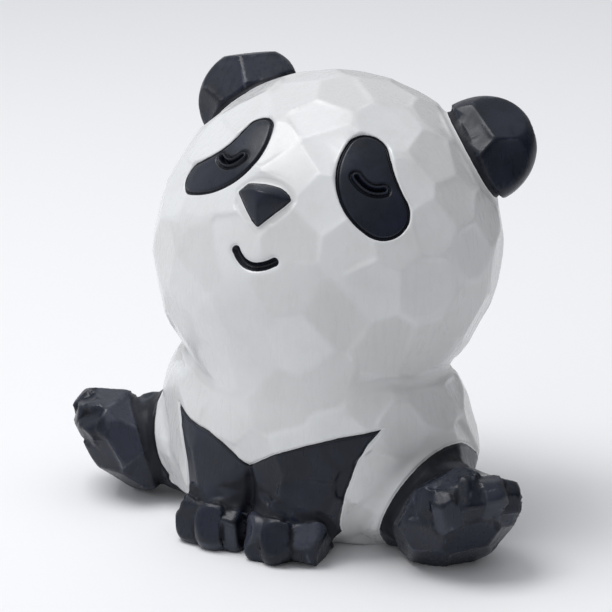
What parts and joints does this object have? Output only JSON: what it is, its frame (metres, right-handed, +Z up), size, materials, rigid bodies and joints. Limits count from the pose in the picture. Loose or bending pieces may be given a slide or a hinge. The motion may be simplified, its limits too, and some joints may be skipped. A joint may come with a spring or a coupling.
{
  "type": "figurine",
  "caption": "Small seated panda figurine with a lifted round head and shut eyes, cast in one piece and cut all over in chisel facets, resting on a flat base.",
  "frame": {"origin": "middle of the footprint, on the surface that the figurine stands on", "axes": "+Z up, the panda's face looks toward -Y, and its own left side is +X"},
  "size_m": [0.0866, 0.056, 0.0746],
  "materials": {
    "painted_resin": "satin"
  },
  "bodies": {
    "root": {"panda_figurine": "painted_resin"}
  },
  "joints": []
}
